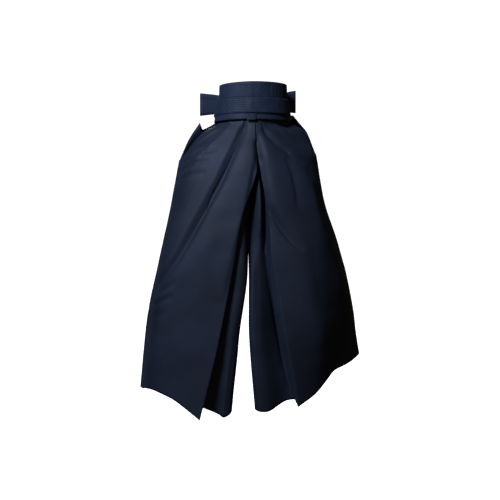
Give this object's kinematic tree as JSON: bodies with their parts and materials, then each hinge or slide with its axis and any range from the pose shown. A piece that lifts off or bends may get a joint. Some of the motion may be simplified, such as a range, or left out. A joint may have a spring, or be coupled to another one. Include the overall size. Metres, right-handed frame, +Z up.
{
  "type": "hakama trousers",
  "caption": "Full divided pleated trousers in worn form, with open waist and hems, side vents, a stiff back board and straps wound and tied at the waist.",
  "frame": {"origin": "middle of the waist hollow, at the height of the tied straps", "axes": "+X towards the wearer's left, -Y out of the front, +Z up"},
  "size_m": [0.7144, 0.4342, 1.0779],
  "materials": {
    "cloth": "smooth dark navy worsted-look twill, faintly lustrous",
    "strap": "the same navy cloth folded into stitched straps"
  },
  "bodies": {
    "root": {"front_right": "cloth", "front_left": "cloth", "back_right": "cloth", "back_left": "cloth", "gusset_right": "cloth", "gusset_left": "cloth", "front_strap_upper": "strap", "front_strap_lower": "strap", "front_tie": "strap", "back_strap_right": "strap", "back_strap_left": "strap", "board": "cloth", "bow_loop_right": "strap", "bow_loop_left": "strap", "bow_knot": "strap"}
  },
  "joints": []
}
